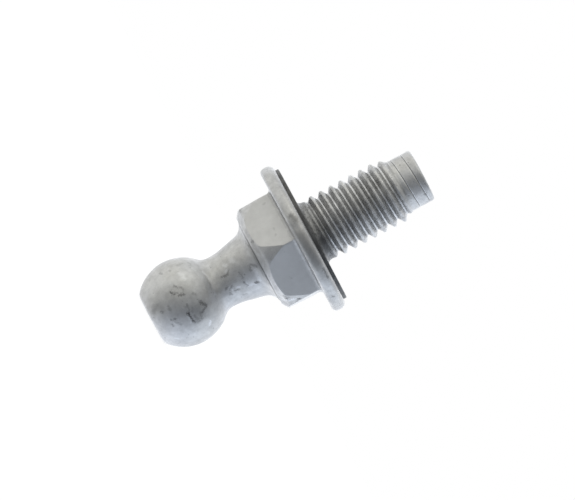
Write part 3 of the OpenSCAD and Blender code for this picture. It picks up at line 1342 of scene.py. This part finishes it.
# Light strokes on the head: rubs, and painted highlights.
HEAD_RUBS_AND_HIGHLIGHTS = strokes_of(
    (6.75, -1.9, 6.5, -1.5, 0.2, 0.25), (7.85, -0.6, 8, -0.65, 0.12, 0.5),
    (8.2, -0.45, 8.35, -0.4, 0.1, 0.45), (8, -1.15, 8.15, -1.05, 0.15, 0.35),
    (8.7, -1.25, 8.9, -1.2, 0.18, 0.3), (7.4, 0.75, 7.55, 0.85, 0.09, 0.6),
    (7.6, 1.1, 7.7, 1.05, 0.08, 0.6), (8.1, 1.1, 8.25, 1.15, 0.08, 0.6), (9, 1.15, 9.1, 1.45, 0.1, 0.6),
    # The last stroke here is a painted highlight on the burr at the hexagon's lower corner.
    (9.25, 1.45, 9.45, 1.5, 0.12, 0.5), (9.65, 1.6, 9.7, 1.6, 0.1, 0.7), (11.5, 4.2, 12.2, 4.45, 0.09, 0.8),
    # Painted highlight along the crease where the ball meets the neck, at height 6.07.
    (6.07, -1.5, 6.07, 0.7, 0.13, 0.5), (10.25, 0.5, 10.2, 1.5, 0.16, 0.3),
)
FACET_MARKS = strokes_of(
    (13.7, -4.34, 13.75, -4.3, 0.1, 0.25), (13.4, -2, 13.42, -1.9, 0.1, 0.22),
    (13.26, -1.43, 13.28, -1.4, 0.09, 0.22), (11.3, -4.1, 11.4, -3.8, 0.16, 0.35),
    (12.6, 2.45, 12.75, 2.7, 0.07, 0.2),
)
THREAD_MARKS_AND_SHADE = strokes_of(
    (21.85, -1.6, 21.95, -1.45, 0.12, 0.9), (20.95, 0.4, 21.05, 0.55, 0.11, 0.9),
    # Painted shade: the wide strokes near height 16.6, here and on the next line, on the blank beside the
    # bearing face.
    (16.45, 2.75, 16.5, 2.78, 0.14, 1), (16.65, 0.9, 16.7, 2, 0.6, 0.95),
    (16.55, -2.5, 16.6, -1.2, 0.34, 0.65), (17.2, -0.6, 17.2, 1.2, 0.14, 0.5),
)
PILOT_MARKS = strokes_of(
    (26.72, 1.65, 26.77, 1.7, 0.09, 0.6), (27.3, 1.05, 27.38, 1.08, 0.08, 0.6),
)
# Painted highlight: one light stroke along the pilot's shaded middle.
PILOT_PAINTED_HIGHLIGHT = strokes_of(
    (25.6, -0.62, 27.2, -0.62, 0.45, 0.22),
)


@dataclass
class Finish:
    """The six finishes of the stud, in the order of the zones."""

    def dress(self, stud: bpy.types.Object, seen: View) -> None:
        """Puts the materials on the stud.

        Args:
            stud: Object that takes them.
            seen: Rule that finds the point of the surface at a place of the picture.
        """
        coatings = {
            Zone.BALL: Coating("coated_ball", 0.53, 0.01, 0.42, 0.17, speck_share=0.12,
                               marks_and_shade=BALL_MARKS, rubs_and_highlights=BALL_RUBS_AND_HIGHLIGHTS, bump=0.5),
            Zone.HEAD: Coating("coated_head", 0.53, 0.01, 0.40, 0.18, shade_and_dirt_share=0.8, highlight_share=0.3,
                               speck_share=0.2, marks_and_shade=HEAD_MARKS_AND_SHADE, rubs_and_highlights=HEAD_RUBS_AND_HIGHLIGHTS, bump=0.6),
            Zone.FACET: Coating("coated_facets", 0.53, 0.0, 0.36, 0.06, pit_share=0.1, marks_and_shade=FACET_MARKS,
                                bump=0.2),
            # The seat's dark level is painted shade: the bearing face is the same coating as the rest.
            Zone.SEAT: Coating("seat_painted_shade", 0.12, 0.0, 0.5, 0.5, shade_and_dirt_share=0.3, dark_level=0.03),
            Zone.THREAD: Coating("coated_thread", 0.515, 0.01, 0.40, 0.35, shade_and_dirt_share=0.4, dark_level=0.1,
                                 speck_share=0.6, marks_and_shade=THREAD_MARKS_AND_SHADE, bump=0.8),
            Zone.PILOT: Coating("coated_pilot", 0.53, 0.01, 0.38, 0.16, shade_and_dirt_share=0.8, highlight_share=0.8,
                                speck_share=0.2, marks_and_shade=PILOT_MARKS, rubs_and_highlights=PILOT_PAINTED_HIGHLIGHT, bump=0.45),
        }
        for zone in Zone:
            stud.data.materials.append(coatings[zone].make(seen))


@dataclass(frozen=True)
class Glow:
    """Soft light in the tent, in a direction given from the camera's view."""

    right: float
    up: float
    front: float
    focus: float
    colour: tuple[float, float, float]


@dataclass
class Studio:
    """Pale studio: a dim tent with soft lights above, below and behind, and a white floor."""

    axis_slope: float = 28.1
    middle_height: float = 13.6
    middle_offset: float = 0.28
    distance: float = 380.0
    picture_width: float = 575 / 11.2
    sensor_width: float = 36.0
    floor_size: float = 2.0
    dim: tuple[float, float, float] = (0.04, 0.05, 0.07)
    glows: tuple[Glow, ...] = (
        Glow(0.30, 0.86, 0.41, 3.2, (1.03, 1.02, 0.94)),
        Glow(-0.82, 0.57, -0.11, 2.4, (0.87, 0.86, 0.80)),
        Glow(-0.63, -0.48, -0.61, 7.5, (1.12, 1.15, 1.22)),
        Glow(-0.13, -0.99, 0.03, 3.9, (0.86, 0.94, 1.06)),
        Glow(0.68, -0.71, -0.21, 6.0, (0.76, 0.84, 0.94)),
        Glow(0.34, 0.10, -0.94, 3.0, (1.53, 1.56, 1.61)),
    )

    def directions(self) -> tuple[Vector, Vector, Vector]:
        """Gives the camera's directions.

        Returns:
            Its right, up and backward directions.
        """
        side, back = view_axes()
        axis = Vector((0, 0, 1))
        slope = math.radians(self.axis_slope)
        right = side * math.sin(slope) + axis * math.cos(slope)
        up = axis * math.sin(slope) - side * math.cos(slope)
        return right, up, back

    def camera(self) -> None:
        """Makes the camera at the photograph's viewing angle."""
        right, up, back = self.directions()
        side = right * math.sin(math.radians(self.axis_slope)) - up * math.cos(math.radians(self.axis_slope))
        target = side * self.middle_offset + Vector((0, 0, self.middle_height))
        data = bpy.data.cameras.new("camera")
        data.sensor_width = self.sensor_width
        data.lens = self.sensor_width * self.distance / self.picture_width
        data.clip_start = 0.01
        data.clip_end = 10
        camera = bpy.data.objects.new(data.name, data)
        bpy.context.scene.collection.objects.link(camera)
        turned = Matrix((right, up, back)).transposed().to_4x4()
        camera.matrix_world = Matrix.Translation((target + back * self.distance) * METRES) @ turned
        bpy.context.scene.camera = camera

    def tent(self) -> None:
        """Makes the world: white to the camera, a dim tent with soft lights to the object."""
        world = bpy.data.worlds.new("tent")
        bpy.context.scene.world = world
        wiring = Wiring.fresh(world)
        right, up, back = self.directions()
        ray = wiring.add("ShaderNodeTexCoord").outputs["Generated"]
        light = self.dim
        for glow in self.glows:
            towards = right * glow.right + up * glow.up + back * glow.front
            spread = wiring.math("MULTIPLY_ADD", wiring.dot(ray, tuple(towards)), glow.focus, -glow.focus)
            level = wiring.math("EXPONENT", spread)
            inputs = {0: glow.colour, "Scale": level}
            part = wiring.add("ShaderNodeVectorMath", inputs, operation="SCALE").outputs[0]
            light = wiring.vector("ADD", light, part)
        lit = wiring.add("ShaderNodeBackground", {"Color": light, "Strength": 1.0})
        seen = wiring.add("ShaderNodeBackground", {"Color": (1, 1, 1, 1), "Strength": 1.0})
        path = wiring.add("ShaderNodeLightPath")
        share = path.outputs["Is Camera Ray"]
        both = wiring.add("ShaderNodeMixShader", {0: share, 1: lit.outputs[0], 2: seen.outputs[0]})
        wiring.add("ShaderNodeOutputWorld", {"Surface": both.outputs[0]})

    def floor(self) -> bpy.types.Object:
        """Makes the white floor, which shows the stud's soft shadow.

        Returns:
            The floor.
        """
        mesh = bmesh.new()
        bmesh.ops.create_grid(mesh, x_segments=1, y_segments=1, size=self.floor_size / 2)
        floor = as_object(as_mesh(mesh, "floor"))
        material = bpy.data.materials.new("floor_white")
        wiring = Wiring.fresh(material)
        path = wiring.add("ShaderNodeLightPath")
        matt = wiring.add("ShaderNodeBsdfDiffuse", {"Color": (0.9, 0.9, 0.9, 1)})
        glow = wiring.add("ShaderNodeEmission", {"Color": (1, 1, 1, 1), "Strength": 1.12})
        white = wiring.add("ShaderNodeMixShader", {0: 0.8, 1: matt.outputs[0], 2: glow.outputs[0]})
        clear = wiring.add("ShaderNodeBsdfTransparent")
        both = wiring.add("ShaderNodeMixShader", {
            0: path.outputs["Is Camera Ray"], 1: clear.outputs[0], 2: white.outputs[0],
        })
        wiring.add("ShaderNodeOutputMaterial", {"Surface": both.outputs[0]})
        floor.data.materials.append(material)
        return floor


def main() -> None:
    """Builds the studio and the stud, and reports each piece."""
    logging.basicConfig(level=logging.INFO, format="%(message)s")
    bpy.context.scene.view_settings.view_transform = "Standard"
    studio = Studio()
    studio.camera()
    studio.tent()
    floor = studio.floor()
    LOG.info("studio ready")
    design = BallStud()
    stud = design.build()
    Finish().dress(stud, design.seen)
    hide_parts("ball_stud")
    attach(stud, "root")
    LOG.info("stud: %d faces", len(stud.data.polygons))


if __name__ == "__main__":
    main()
